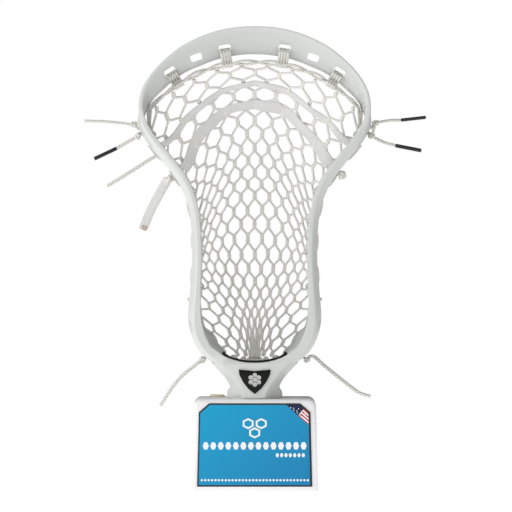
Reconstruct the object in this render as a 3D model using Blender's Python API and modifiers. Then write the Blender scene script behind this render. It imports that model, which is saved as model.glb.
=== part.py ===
"""Strung lacrosse head standing in its moulded display block.

Metres, +Z up, the open face of the head towards -Y. Sizes below are in millimetres.
"""
import bisect
import math

import bmesh
import bpy
from mathutils import Matrix, Vector

MM = 0.001
GAP = 0.3                     # clearance between pieces that touch

# Display block
BLOCK_WIDTH = 97.0
BLOCK_TOP_WIDTH = 93.5
BLOCK_DEPTH = 50.0
BLOCK_HEIGHT = 70.0
BLOCK_WALL = 2.5
BLOCK_CORNER = 5.5            # upper left and right edges
BLOCK_EDGE = 3.0              # edges round the front and the back
BLOCK_HOLE = (37.0, 40.0)     # opening in the top for the throat
BASE_THICKNESS = 2.4
POST_ACROSS_FLATS = 25.4      # a standard shaft
POST_TOP = 60.0
SCREW_OFFSET = 6.5
CARD_THICKNESS = 0.4
CARD_BOTTOM = 3.6
CARD_TOP = 67.0

# Head
SOCKET_ACROSS_FLATS = 26.4
SOCKET_TOP = 80.0
THROAT_END = 24.0
COLLAR_BOTTOM = BLOCK_HEIGHT + GAP
FRONT_FACE_Y = -20.0
RAIL_DEPTH = 6.0
WEB_THICKNESS = 2.8
CHAMFER = 0.7
FRAME_STEPS = 66              # cross-sections along one half of the frame
STRING_HOLES = 12
PAD_THICKNESS = 0.9
PAD_LIFT = 0.7                # glue line under the pad
PAD_STEPS = 6                 # cross-sections of the frame that each half of the pad covers
MESH_THICKNESS = 1.5
CORD = 2.6
THIN_CORD = 2.2

# One half of the frame, from the scoop's tip round to the middle of the ball stop.
# x and z of the outline; front rail's inset and width; back rail's inset and width; front and
# back depth; depth over which the outer face slants; 1 where the wall is a thin-webbed sidewall.
FRAME_STATIONS = [
    (0.0, 353.3, 0.0, 2.2, 16.8, 3.5, -36.0, -10.0, 26.0, 0),
    (27.6, 350.1, 0.0, 2.2, 16.6, 3.5, -35.5, -10.0, 25.5, 0),
    (52.2, 340.2, 0.0, 2.2, 15.3, 3.5, -34.5, -8.0, 26.5, 0),
    (69.0, 327.6, 0.0, 2.2, 11.8, 3.5, -32.5, -4.0, 28.5, 0),
    (80.9, 314.5, 0.0, 2.4, 9.6, 3.7, -30.0, 0.5, 30.5, 0),
    (88.0, 299.6, 0.3, 3.0, 4.2, 4.2, -27.5, 5.5, 30.0, 0),
    (90.1, 282.4, 3.0, 4.2, 0.0, 4.6, -25.5, 9.5, 15.0, 0),
    (83.3, 266.9, 4.6, 3.6, 0.0, 4.5, -24.0, 12.5, 7.0, 1),
    (69.0, 249.6, 4.4, 3.6, 0.0, 4.4, -22.8, 15.0, 6.0, 1),
    (56.6, 231.8, 4.2, 3.8, 0.0, 4.4, -21.6, 17.0, 6.0, 1),
    (50.0, 212.8, 3.7, 3.8, 0.0, 4.4, -20.6, 18.5, 6.0, 1),
    (47.8, 182.0, 3.7, 3.8, 0.0, 4.4, -19.8, 21.0, 6.0, 1),
    (49.3, 155.2, 4.1, 4.4, 0.0, 4.8, -19.6, 23.0, 6.0, 1),
    (51.2, 130.2, 4.5, 6.2, 0.0, 6.2, -19.8, 25.0, 6.5, 1),
    (48.7, 115.7, 4.6, 7.0, 0.4, 14.7, -20.0, 26.0, 8.0, 0),
    (42.3, 103.9, 4.8, 6.2, 0.3, 16.5, -20.0, 26.0, 10.0, 0),
    (35.6, 98.1, 4.7, 6.5, 0.0, 14.2, -20.0, 26.0, 12.0, 0),
    (25.9, 92.3, 3.6, 7.2, 0.0, 11.2, -20.0, 26.0, 12.0, 0),
    (12.0, 90.0, 0.0, 8.6, 0.0, 8.6, -20.0, 26.0, 12.0, 0),
    (0.0, 89.5, 0.0, 8.1, 0.0, 8.1, -20.0, 26.0, 12.0, 0),
]

# Throat, from its hidden end up to the ball stop: height, half width, half width of the flat
# front, half width of the flat back, front depth, back depth, and the depth of the front chamfer.
THROAT_STATIONS = [
    (THROAT_END, 17.2, 9.5, 10.5, -18.0, 18.6, 7.0),
    (66.0, 17.6, 9.8, 10.5, -18.6, 19.0, 7.5),
    (COLLAR_BOTTOM - 0.1, 17.8, 10.0, 11.0, -18.8, 19.2, 7.5),
    (COLLAR_BOTTOM, 21.4, 7.6, 14.0, FRONT_FACE_Y, 22.0, 13.0),
    (74.0, 21.2, 8.2, 14.0, FRONT_FACE_Y, 22.0, 13.0),
    (77.6, 18.9, 9.8, 13.0, FRONT_FACE_Y, 21.0, 12.0),
    (81.0, 19.6, 12.0, 14.5, FRONT_FACE_Y, 21.4, 12.0),
    (85.5, 22.4, 15.0, 18.0, FRONT_FACE_Y, 22.6, 12.0),
    (90.0, 26.2, 18.4, 23.0, FRONT_FACE_Y, 24.2, 12.0),
    (94.0, 30.0, 22.2, 27.0, FRONT_FACE_Y, 25.4, 12.0),
    (97.0, 33.0, 26.0, 29.0, FRONT_FACE_Y, 25.6, 12.0),
]

# String slots in the scoop: middle x, middle z, tilt in degrees. Each has a mirrored twin.
SLOT_SIZE = (9.2, 5.0)
SCOOP_SLOTS = [(22.8, 337.7, 8.0), (44.7, 330.6, 18.5), (64.7, 319.9, 33.0)]

# Sidewall windows: fraction of the half frame's length, length along the rail, height.
WINDOWS = [(0.43, 20.0, 13.0), (0.505, 26.0, 14.0), (0.59, 28.0, 17.0), (0.672, 28.0, 19.0)]
HOLE_SPAN = (0.37, 0.755)     # sidewall string holes lie between these fractions

# Mesh pocket, from the scoop down to the ball stop: height at the middle, height at the edge,
# half width, depth at the edge, depth at the middle.
POCKET_STATIONS = [
    (325.4, 288.0, 78.0, 4.0, -12.0),
    (312.0, 268.0, 72.9, 8.0, 0.0),
    (296.0, 250.0, 57.1, 11.0, 14.0),
    (270.0, 228.0, 45.0, 13.0, 30.0),
    (240.0, 208.0, 40.8, 14.5, 43.0),
    (210.0, 188.0, 39.2, 16.0, 52.0),
    (178.0, 166.0, 39.4, 18.0, 57.0),
    (150.0, 145.0, 40.6, 19.0, 55.0),
    (128.0, 126.0, 37.6, 20.0, 47.0),
    (111.0, 114.0, 26.0, 24.0, 38.0),
    (98.6, 101.0, 19.0, 29.0, 30.0),
]
ARCH_POWER = 2.4
POCKET_ROUND = 0.85

# Flat laces: place down the mesh at the middle, how much further down at the ends, the power of
# that fall, reach across, width, thickness.
LACES = {
    "shooting_lace_upper": (0.079, 0.032, 0.9, 0.8, 5.0, 0.9),
    "shooting_lace_lower": (0.177, 0.05, 3.0, 0.88, 8.0, 0.9),
}

# Knots outside the frame: x, depth, height, radius.
KNOTS = {
    "knot_left_top": (-93.2, 5.5, 280.4, 2.6),
    "knot_left_mid": (-90.2, 6.5, 271.6, 2.6),
    "knot_left_low": (-65.8, 7.5, 238.6, 3.4),
    "knot_right_top": (93.4, 5.5, 281.8, 2.6),
    "knot_right_mid": (90.2, 6.5, 271.6, 2.6),
    "knot_right_low": (67.4, 7.5, 241.4, 3.4),
    "knot_bottom_left": (-40.6, 14.0, 98.6, 2.6),
    "knot_bottom_right": (40.6, 14.0, 98.6, 2.6),
}

# Free cord ends: diameter, then the route from the frame outwards.
TAILS = {
    "tail_left_top": (THIN_CORD, [(-96.6, 5.2, 280.7), (-106.0, 3.0, 281.8), (-118.0, 0.5, 282.6),
                                  (-131.0, -1.0, 282.9)]),
    "tail_left_mid": (CORD, [(-93.2, 6.0, 269.8), (-99.0, 5.0, 266.4), (-106.2, 3.0, 262.2)]),
    "tail_left_low": (CORD, [(-78.6, 8.0, 254.8), (-88.0, 6.0, 249.0), (-101.0, 3.0, 240.6),
                             (-113.7, 1.0, 232.7)]),
    "tail_bottom_left": (CORD, [(-43.6, 13.5, 96.4), (-50.0, 12.2, 91.4), (-57.5, 10.5, 84.9),
                                (-65.0, 8.5, 75.6), (-72.9, 6.0, 63.1)]),
    "tail_right_top": (THIN_CORD, [(96.9, 5.1, 282.4), (105.0, 3.0, 283.6), (112.4, 1.5, 283.6)]),
    "tail_right_mid": (CORD, [(93.3, 5.8, 269.9), (100.0, 4.0, 266.6), (108.2, 2.0, 264.2)]),
    "tail_bottom_right": (CORD, [(43.7, 13.8, 101.2), (46.2, 13.5, 100.9), (49.6, 12.8, 98.0),
                                 (54.2, 11.7, 93.8), (61.5, 10.0, 87.9), (74.3, 7.0, 77.8),
                                 (80.7, 5.0, 73.4), (89.3, 4.0, 70.6)]),
}
AGLETS = {
    "aglet_left_mid": (3.0, (-106.5, 2.9, 262.0), (-123.3, -1.0, 253.8)),
    "aglet_right_top": (2.6, (112.8, 1.4, 283.7), (131.7, -1.0, 285.7)),
    "aglet_right_mid": (3.0, (108.6, 1.9, 264.1), (128.0, -2.0, 260.1)),
}
LACE_TAIL = [(-69.4, 7.4, 234.6), (-75.0, 6.6, 224.6), (-80.6, 5.4, 213.6), (-85.0, 4.6, 203.0)]
LACE_TIP_END = (-86.6, 4.2, 199.2)
LACE_TAIL_WIDTH = 7.0


def clear_scene():
    for obj in list(bpy.data.objects):
        bpy.data.objects.remove(obj, do_unlink=True)


def make_collection(name):
    collection = bpy.data.collections.new(name)
    bpy.context.scene.collection.children.link(collection)
    return collection


def linear(channel):
    """One sRGB channel, 0 to 1, as linear light."""
    if channel <= 0.04045:
        return channel / 12.92
    return ((channel + 0.055) / 1.055) ** 2.4


def make_material(name, colour, roughness, metallic=0.0):
    material = bpy.data.materials.new(name)
    material.use_nodes = True
    shader = material.node_tree.nodes["Principled BSDF"]
    channels = [linear(int(colour[i:i + 2], 16) / 255) for i in (1, 3, 5)]
    shader.inputs["Base Color"].default_value = (*channels, 1.0)
    shader.inputs["Roughness"].default_value = roughness
    shader.inputs["Metallic"].default_value = metallic
    return material


def link(obj, collection, material=None, parent=None):
    for old in list(obj.users_collection):
        old.objects.unlink(obj)
    collection.objects.link(obj)
    if material:
        obj.data.materials.append(material)
    if parent:
        obj.parent = parent
    return obj


def mesh_object(name, bm, smooth=False):
    bmesh.ops.recalc_face_normals(bm, faces=bm.faces)
    for face in bm.faces:
        face.smooth = smooth
    mesh = bpy.data.meshes.new(name)
    bm.to_mesh(mesh)
    bm.free()
    return bpy.data.objects.new(name, mesh)


def smooth_rows(rows, spots, distance=None):
    """Rows read at fractions of the length of a smooth curve through the given rows."""
    distance = distance or (lambda a, b: math.dist(a, b))
    knots = [0.0]
    for before, after in zip(rows, rows[1:]):
        knots.append(knots[-1] + distance(before, after))
    slopes = []
    for i in range(len(rows)):
        low = max(i - 1, 0)
        high = min(i + 1, len(rows) - 1)
        span = knots[high] - knots[low]
        slopes.append([(b - a) / span for a, b in zip(rows[low], rows[high])])
    result = []
    for spot in spots:
        place = spot * knots[-1]
        i = min(max(bisect.bisect_right(knots, place) - 1, 0), len(rows) - 2)
        step = knots[i + 1] - knots[i]
        t = (place - knots[i]) / step
        weights = (2 * t**3 - 3 * t**2 + 1, (t**3 - 2 * t**2 + t) * step,
                   3 * t**2 - 2 * t**3, (t**3 - t**2) * step)
        sources = (rows[i], slopes[i], rows[i + 1], slopes[i + 1])
        result.append([sum(w * s[k] for w, s in zip(weights, sources)) for k in range(len(rows[0]))])
    return result


def loft(name, rings, closed, smooth=True):
    """Joins rings of equally many points, in millimetres, and caps the ends of an open run."""
    bm = bmesh.new()
    loops = [[bm.verts.new(Vector(point) * MM) for point in ring] for ring in rings]
    pairs = list(zip(loops, loops[1:]))
    if closed:
        pairs.append((loops[-1], loops[0]))
    for low, high in pairs:
        for i in range(len(low)):
            j = (i + 1) % len(low)
            bm.faces.new((low[i], low[j], high[j], high[i]))
    if not closed:
        bm.faces.new(loops[0])
        bm.faces.new(loops[-1])
    return mesh_object(name, bm, smooth)


def rounded_box(name, size, radius, axis, segments=4):
    """A box in millimetres, with the four edges along one axis rounded."""
    bm = bmesh.new()
    bmesh.ops.create_cube(bm, size=1.0)
    bmesh.ops.scale(bm, vec=Vector(size) * MM, verts=bm.verts)
    edges = [edge for edge in bm.edges
             if abs((edge.verts[0].co - edge.verts[1].co).normalized()[axis]) > 0.9]
    bmesh.ops.bevel(bm, geom=edges, offset=radius * MM, segments=segments, profile=0.5,
                    affect="EDGES")
    return mesh_object(name, bm)


def prism(name, across_flats, bottom, top):
    """An octagonal prism on the Z axis, flats facing X and Y."""
    bm = bmesh.new()
    radius = across_flats / 2 / math.cos(math.pi / 8) * MM
    turn = Matrix.Translation((0, 0, (bottom + top) / 2 * MM)) @ Matrix.Rotation(math.pi / 8, 4, "Z")
    bmesh.ops.create_cone(bm, cap_ends=True, segments=8, radius1=radius, radius2=radius,
                          depth=(top - bottom) * MM, matrix=turn)
    return mesh_object(name, bm)


def cylinder(name, radius, start, end, segments=12):
    """A plain cylinder between two points, in millimetres."""
    start = Vector(start) * MM
    end = Vector(end) * MM
    turn = Vector((0, 0, 1)).rotation_difference(end - start).to_matrix().to_4x4()
    bm = bmesh.new()
    bmesh.ops.create_cone(bm, cap_ends=True, segments=segments, radius1=radius * MM,
                          radius2=radius * MM, depth=(end - start).length,
                          matrix=Matrix.Translation((start + end) / 2) @ turn)
    return mesh_object(name, bm, smooth=True)


def turned(name, profile, segments=14):
    """A turned piece: a profile of radius and height, in millimetres, swept round the Z axis."""
    mesh = bpy.data.meshes.new(name)
    points = [(radius * MM, 0, height * MM) for radius, height in profile]
    mesh.from_pydata(points, [(i, i + 1) for i in range(len(points) - 1)], [])
    obj = bpy.data.objects.new(name, mesh)
    screw = obj.modifiers.new("Screw", "SCREW")
    screw.steps = segments
    screw.render_steps = segments
    screw.use_merge_vertices = True
    screw.merge_threshold = 0.00001
    return obj


def plate(name, outlines, thickness):
    """A flat plate standing in the XZ plane, from closed outlines; a second outline is a hole."""
    curve = bpy.data.curves.new(name, "CURVE")
    curve.dimensions = "2D"
    curve.fill_mode = "BOTH"
    curve.extrude = thickness / 2 * MM
    for outline in outlines:
        spline = curve.splines.new("POLY")
        spline.points.add(len(outline) - 1)
        for point, (x, z) in zip(spline.points, outline):
            point.co = (x * MM, z * MM, 0, 1)
        spline.use_cyclic_u = True
    obj = bpy.data.objects.new(name, curve)
    obj.rotation_euler = (math.pi / 2, 0, 0)
    return obj


def tube(name, route, diameter, sides=2):
    """A round cord with closed ends, on a smooth curve through the route's points."""
    length = sum(math.dist(a, b) for a, b in zip(route, route[1:]))
    count = max(3, min(80, round(length / (2.4 * diameter)) + 1))
    points = smooth_rows(route, [i / (count - 1) for i in range(count)])
    curve = bpy.data.curves.new(name, "CURVE")
    curve.dimensions = "3D"
    curve.bevel_depth = diameter / 2 * MM
    curve.bevel_resolution = sides
    curve.use_fill_caps = True
    spline = curve.splines.new("POLY")
    spline.points.add(count - 1)
    for point, place in zip(spline.points, points):
        point.co = (*(Vector(place) * MM), 1)
    return bpy.data.objects.new(name, curve)


def ribbon(name, middle, across, outward, width, thickness):
    """A flat lace: a run of rectangles on its middle line, lying along across and outward."""
    rings = []
    for point, side, out in zip(middle, across, outward):
        reach = side * width / 2
        depth = out * thickness / 2
        rings.append([point + reach + depth, point - reach + depth,
                      point - reach - depth, point + reach - depth])
    return loft(name, rings, closed=False)


def cut(obj, operation, operand):
    boolean = obj.modifiers.new(operation.title(), "BOOLEAN")
    boolean.operation = operation
    boolean.solver = "EXACT"
    if isinstance(operand, bpy.types.Collection):
        boolean.operand_type = "COLLECTION"
        boolean.collection = operand
    else:
        boolean.object = operand


def as_cutter(obj, collection):
    link(obj, collection)
    obj.hide_render = True
    obj.display_type = "WIRE"
    return obj


# ---------------------------------------------------------------- frame of the head

def frame_rows(spots):
    """Cross-section values at fractions of the half frame's length, from tip to ball stop."""
    first = FRAME_STATIONS[1]
    last = FRAME_STATIONS[-2]
    rows = [(-first[0], *first[1:]), *FRAME_STATIONS, (-last[0], *last[1:])]
    ends = [math.dist(a[:2], b[:2]) for a, b in zip(rows, rows[1:])]
    total = sum(ends)
    inner = total - ends[0] - ends[-1]
    places = [(ends[0] + spot * inner) / total for spot in spots]
    return smooth_rows(rows, places, lambda a, b: math.dist(a[:2], b[:2]))


def frame_place(spot):
    """Outline point, outward normal and cross-section values at one fraction of the half frame."""
    small = 0.001
    before, here, after = frame_rows([max(spot - small, 0), spot, min(spot + small, 1)])
    along = Vector((after[0] - before[0], after[1] - before[1])).normalized()
    return Vector(here[:2]), Vector((-along.y, along.x)), here


def wall_faces(row, y):
    """How far the outer and the inner face lie inside the outline, at one depth."""
    front_in, front_width, back_in, back_width, front, back, slant, web = row[2:]
    outer = front_in + (back_in - front_in) * min(1.0, (y - front) / slant)
    along = (y - front) / (back - front)
    inner = front_in + front_width + (back_in + back_width - front_in - front_width) * along
    return outer, inner


def frame_section(spot, side):
    """The wall's cross-section as a ring of points, on the side given by 1 or -1."""
    place, normal, row = frame_place(spot)
    front, back = row[6:8]
    web = max(0.0, min(1.0, row[9]))
    outer_run, inner_run = [], []
    for y, chamfer, thinning in ((front, CHAMFER, 0), (front + CHAMFER, 0, 0),
                                 (front + RAIL_DEPTH, 0, 0), (front + RAIL_DEPTH + 1, 0, web),
                                 (back - RAIL_DEPTH - 1, 0, web), (back - RAIL_DEPTH, 0, 0),
                                 (back - CHAMFER, 0, 0), (back, CHAMFER, 0)):
        outer, inner = wall_faces(row, y)
        inset = chamfer + thinning * (inner - outer - WEB_THICKNESS) / 2
        for run, offset in ((outer_run, outer + inset), (inner_run, inner - inset)):
            point = place - normal * offset
            run.append((side * point.x, y, point.y))
    return outer_run + inner_run[::-1]


def make_ring():
    spots = [i / FRAME_STEPS for i in range(FRAME_STEPS + 1)]
    rings = [frame_section(spot, 1) for spot in spots]
    rings += [frame_section(spot, -1) for spot in reversed(spots[1:-1])]
    return loft("head_frame", rings, closed=True)


def make_throat():
    rings = []
    for height, half, front_flat, back_flat, front, back, chamfer in THROAT_STATIONS:
        right = [(front_flat, front), (half, front + chamfer), (half, back - 5), (back_flat, back)]
        left = [(-x, y) for x, y in reversed(right)]
        rings.append([(x, y, height) for x, y in right + left])
    throat = loft("throat", rings, closed=False, smooth=False)
    bevel = throat.modifiers.new("Bevel", "BEVEL")
    bevel.width = 0.8 * MM
    bevel.segments = 2
    bevel.limit_method = "ANGLE"
    bevel.angle_limit = math.radians(28)
    return throat


def frame_cutters(collection):
    as_cutter(prism("socket", SOCKET_ACROSS_FLATS, THROAT_END - 5, SOCKET_TOP), collection)
    as_cutter(cylinder("shaft_screw_hole", 2.4, (0, 10, 46), (0, 24, 46)), collection)
    for side in (1, -1):
        for x, z, tilt in SCOOP_SLOTS:
            slot = rounded_box("slot", (SLOT_SIZE[0], 60, SLOT_SIZE[1]), 1.4, 1, 2)
            slot.location = Vector((side * x, -20, z)) * MM
            slot.rotation_euler = (0, side * math.radians(tilt), 0)
            as_cutter(slot, collection)
        for spot, length, height in WINDOWS:
            place, normal, row = frame_place(spot)
            window = rounded_box("window", (24, height, length), 4.5, 0, 3)
            middle = (row[6] + row[7]) / 2
            window.location = Vector((side * place.x, middle, place.y)) * MM
            window.rotation_euler = (0, -side * math.atan2(normal.y, normal.x), 0)
            as_cutter(window, collection)
        for k in range(STRING_HOLES):
            low, high = HOLE_SPAN
            place, normal, row = frame_place(low + (high - low) * k / (STRING_HOLES - 1))
            depth = row[7] - RAIL_DEPTH / 2
            ends = [(side * p.x, depth, p.y) for p in (place + normal * 3, place - normal * 10)]
            as_cutter(cylinder("string_hole", 1.6, ends[0], ends[1], 8), collection)


def make_head_frame(parts, cutters, frame_cuts, material, parent):
    frame = link(make_ring(), parts, material, parent)
    throat = as_cutter(make_throat(), cutters)
    cut(frame, "UNION", throat)
    frame_cutters(frame_cuts)
    cut(frame, "DIFFERENCE", frame_cuts)
    return frame


def make_pad(parts, material, parent):
    """Foam strip that follows the ball stop's shelf."""
    rings = []
    for i in range(-PAD_STEPS, PAD_STEPS + 1):
        place, normal, row = frame_place(1 - abs(i) / FRAME_STEPS)
        side = 1 if i >= 0 else -1
        ring = []
        for y, lift in ((-19.5, 0), (-19.5, PAD_THICKNESS), (22.0, PAD_THICKNESS), (22.0, 0)):
            shelf = wall_faces(row, y)[1]
            spot = place - normal * (shelf + PAD_LIFT + lift)
            ring.append((side * spot.x, y, spot.y))
        rings.append(ring)
    link(loft("ball_stop_pad", rings, closed=False), parts, material, parent)


def make_badge(parts, plate_material, emblem_material, parent):
    """Shield on the throat's front, with a plain hexagonal ring on it."""
    half = [(0.0, 91.2), (6.5, 91.9), (12.1, 92.4), (12.3, 88.5), (10.6, 82.8), (6.8, 77.8),
            (0.0, 73.8)]
    outline = half + [(-x, z) for x, z in reversed(half[1:-1])]
    shield = plate("badge_plate", [outline], 1.0)
    shield.location.y = (FRONT_FACE_Y - GAP - 0.5) * MM
    link(shield, parts, plate_material, parent)
    hexagons = []
    for radius in (5.4, 3.8):
        corners = [math.radians(30 + 60 * k) for k in range(6)]
        hexagons.append([(radius * math.cos(a), 84.5 + radius * math.sin(a)) for a in corners])
    emblem = plate("badge_emblem", hexagons, 0.4)
    emblem.location.y = (FRONT_FACE_Y - 2 * GAP - 1.0 - 0.2) * MM
    link(emblem, parts, emblem_material, parent)


# ---------------------------------------------------------------- mesh, strings and laces

def pocket_point(across, down):
    """A point of the mesh: across from -1 to 1, down from 0 at the scoop to 1 at the throat."""
    row = smooth_rows(POCKET_STATIONS, [down])[0]
    middle, edge, half, edge_depth, middle_depth = row
    angle = across * math.pi / 2
    share = abs(math.sin(angle)) ** POCKET_ROUND
    drop = abs(math.cos(angle)) ** POCKET_ROUND
    return Vector((math.copysign(share, across) * half,
                   edge_depth + (middle_depth - edge_depth) * drop,
                   middle + (edge - middle) * share ** ARCH_POWER))


def pocket_normal(across, down):
    """Unit normal of the mesh, towards the open face."""
    small = 0.01
    along = pocket_point(across + small, down) - pocket_point(across - small, down)
    low = max(down - small, 0)
    high = min(down + small, 1)
    fall = pocket_point(across, high) - pocket_point(across, low)
    return fall.cross(along).normalized()


def make_pocket(parts, material, parent):
    bm = bmesh.new()
    columns = 22
    rows = 26
    grid = [[bm.verts.new(pocket_point(2 * i / columns - 1, j / rows) * MM)
             for i in range(columns + 1)] for j in range(rows + 1)]
    for j in range(rows):
        for i in range(columns):
            bm.faces.new((grid[j][i], grid[j][i + 1], grid[j + 1][i + 1], grid[j + 1][i]))
    pocket = mesh_object("mesh_pocket", bm, smooth=True)
    solidify = pocket.modifiers.new("Solidify", "SOLIDIFY")
    solidify.thickness = MESH_THICKNESS * MM
    solidify.offset = 0
    link(pocket, parts, material, parent)


def make_border_strings(parts, material, parent):
    """Strings that hold the mesh's top, sides and foot."""
    steps = [i / 24 for i in range(25)]
    for name, end, inside, reach in (("top_string", 0, 0.03, 0.86), ("bottom_string", 1, 0.97, 0.9)):
        line = []
        for step in steps:
            across = (2 * step - 1) * reach
            point = pocket_point(across, end)
            outward = (point - pocket_point(across, inside)).normalized()
            line.append(point + outward * 2.2)
        link(tube(name, line, CORD), parts, material, parent)
    for side, name in ((-1, "sidewall_string_left"), (1, "sidewall_string_right")):
        line = []
        for step in steps:
            down = 0.06 + 0.78 * step
            point = pocket_point(side, down)
            along = pocket_point(side, down + 0.01) - pocket_point(side, down - 0.01)
            outward = Vector((along.z, 0, -along.x)).normalized() * -side
            line.append(point + outward * 2.15)
        link(tube(name, line, 2.2), parts, material, parent)


def make_hangers(parts, material, parent):
    """Strings that drop from the used scoop slots to the top string."""
    for side, side_name in ((-1, "left"), (1, "right")):
        for index, place_name in ((0, "inner"), (2, "outer")):
            x, z, tilt = SCOOP_SLOTS[index]
            down = Vector((-side * math.sin(math.radians(tilt)), 0, -math.cos(math.radians(tilt))))
            middle = Vector((side * x, -21.5, z))
            route = [middle + Vector((0, 9, 0)) - down * 0.3, middle - down * 0.2,
                     middle + Vector((0, -3.4, 0)) + down * 4.0,
                     middle + Vector((0, 2.0, 0)) + down * 9.5]
            name = f"hanger_{side_name}_{place_name}"
            link(tube(name, route, 2.6), parts, material, parent)


def make_laces(parts, material, parent):
    """Flat laces that arch across the mesh, a hair in front of it."""
    for name, (start, fall, power, reach, width, thickness) in LACES.items():
        middle, across, outward = [], [], []
        count = 36
        for i in range(count + 1):
            spot = (2 * i / count - 1) * reach
            down = start + fall * abs(spot) ** power
            point = pocket_point(spot, down)
            out = pocket_normal(spot, down)
            along = pocket_point(spot + 0.01, down) - pocket_point(spot - 0.01, down)
            middle.append(point + out * (MESH_THICKNESS / 2 + GAP + thickness / 2 + 0.2))
            across.append(out.cross(along).normalized())
            outward.append(out)
        link(ribbon(name, middle, across, outward, width, thickness), parts, material, parent)


def make_knots(parts, material, parent):
    for name, (x, y, z, radius) in KNOTS.items():
        bm = bmesh.new()
        bmesh.ops.create_uvsphere(bm, u_segments=10, v_segments=6, radius=radius * MM)
        knot = mesh_object(name, bm, smooth=True)
        knot.location = Vector((x, y, z)) * MM
        link(knot, parts, material, parent)


def make_tails(parts, cord_material, black, clear, parent):
    for name, (diameter, route) in TAILS.items():
        link(tube(name, route, diameter), parts, cord_material, parent)
    for name, (diameter, start, end) in AGLETS.items():
        link(cylinder(name, diameter / 2, start, end), parts, black, parent)
    link(tube("string_bridge_right", [(92.4, 5.8, 278.5), (91.9, 6.0, 276.7), (91.2, 6.2, 274.9)],
              THIN_CORD), parts, cord_material, parent)
    spots = [i / 12 for i in range(13)]
    points = [Vector(row) for row in smooth_rows(LACE_TAIL, spots)]
    run = points[-1] - points[0]
    flat = Vector((0, 1, 0)).cross(run).normalized()
    link(ribbon("lace_tail_left", points, [flat] * 13, [Vector((0, 1, 0))] * 13,
                LACE_TAIL_WIDTH, 1.0), parts, cord_material, parent)
    tip = [points[-1] + run.normalized() * GAP, Vector(LACE_TIP_END)]
    link(ribbon("lace_tip_left", tip, [flat] * 2, [Vector((0, 1, 0))] * 2, 5.6, 1.6),
         parts, clear, parent)


# ---------------------------------------------------------------- display block

def make_housing(parts, cutters, material):
    """Open-bottomed moulding with drafted sides and a hole for the throat."""
    skirt = 2.0               # trimmed off below, to leave a flat rim
    height = BLOCK_HEIGHT + skirt
    bm = bmesh.new()
    bmesh.ops.create_cube(bm, size=1.0)
    bmesh.ops.scale(bm, vec=Vector((BLOCK_WIDTH, BLOCK_DEPTH, height)) * MM, verts=bm.verts)
    bmesh.ops.translate(bm, vec=(0, 0, (height / 2 - skirt) * MM), verts=bm.verts)
    for vert in bm.verts:
        if vert.co.z > 0:
            vert.co.x *= BLOCK_TOP_WIDTH / BLOCK_WIDTH
    bottom = [face for face in bm.faces if face.calc_center_median().z < 0]
    bmesh.ops.delete(bm, geom=bottom, context="FACES_ONLY")
    upper = [edge for edge in bm.edges
             if all(vert.co.z > 0 for vert in edge.verts) and edge.calc_face_angle(0) > 1
             and edge.verts[0].co.y * edge.verts[1].co.y < 0]
    bmesh.ops.bevel(bm, geom=upper, offset=BLOCK_CORNER * MM, segments=4, profile=0.5,
                    affect="EDGES")
    outline = [edge for edge in bm.edges if not edge.is_boundary
               and edge.verts[0].co.y * edge.verts[1].co.y > 0]
    bmesh.ops.bevel(bm, geom=outline, offset=BLOCK_EDGE * MM, segments=3, profile=0.5,
                    affect="EDGES")
    housing = mesh_object("block_housing", bm, smooth=True)
    solidify = housing.modifiers.new("Solidify", "SOLIDIFY")
    solidify.thickness = BLOCK_WALL * MM
    solidify.offset = -1
    solidify.use_even_offset = True
    hole = rounded_box("throat_hole", (*BLOCK_HOLE, 20), 5.0, 2)
    hole.location.z = BLOCK_HEIGHT * MM
    trim = rounded_box("rim_trim", (BLOCK_WIDTH + 10, BLOCK_DEPTH + 10, 10), 1.0, 2)
    trim.location.z = -5 * MM
    cut(housing, "DIFFERENCE", as_cutter(hole, cutters))
    cut(housing, "DIFFERENCE", as_cutter(trim, cutters))
    link(housing, parts, material)


def make_base(parts, cutters, material, steel):
    """Bottom plate, the stub that fills the socket, and the two screws that join them."""
    inside = (BLOCK_WIDTH - 2 * (BLOCK_WALL + GAP) - 0.2, BLOCK_DEPTH - 2 * (BLOCK_WALL + GAP),
              BASE_THICKNESS)
    base = rounded_box("base_plate", inside, BLOCK_EDGE - BLOCK_WALL + 0.6, 2)
    base.location.z = BASE_THICKNESS / 2 * MM
    post = prism("support_post", POST_ACROSS_FLATS, BASE_THICKNESS + GAP, POST_TOP)
    bevel = post.modifiers.new("Bevel", "BEVEL")
    bevel.width = 0.8 * MM
    bevel.segments = 2
    for side, name in ((-1, "post_screw_left"), (1, "post_screw_right")):
        place = side * SCREW_OFFSET
        for radius, low, high, target in ((3.6, -1, 1.7, base), (1.9, 0, 4, base),
                                          (1.8, 0, 16, post)):
            hole = cylinder("screw_hole", radius, (place, 0, low), (place, 0, high), 20)
            cut(target, "DIFFERENCE", as_cutter(hole, cutters))
        screw = turned(name, [(0, 14), (1.5, 13), (1.5, 1.4), (3.2, 1.4), (3.2, 0.4), (0, 0.4)])
        screw.location.x = place * MM
        link(screw, parts, steel)
    link(base, parts, material)
    link(post, parts, material)


def make_card(parts, material):
    """Printed card glued on the block's front, its top corners cut off."""
    half = [(43.8, CARD_BOTTOM), (42.4, 60.2), (34.6, CARD_TOP)]
    outline = half + [(-x, z) for x, z in reversed(half)]
    card = plate("label_card", [outline], CARD_THICKNESS)
    card.location.y = -(BLOCK_DEPTH / 2 + GAP + CARD_THICKNESS / 2) * MM
    link(card, parts, material)


def make_band(parts, material):
    """Small rubber loop lying on the block beside the throat's foot."""
    bpy.ops.mesh.primitive_torus_add(major_radius=5.2 * MM, minor_radius=0.8 * MM,
                                     major_segments=24, minor_segments=8)
    band = bpy.context.object
    band.name = "rubber_band"
    band.location = Vector((-29.0, 8.0, BLOCK_HEIGHT + GAP + 0.8)) * MM
    link(band, parts, material)


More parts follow.
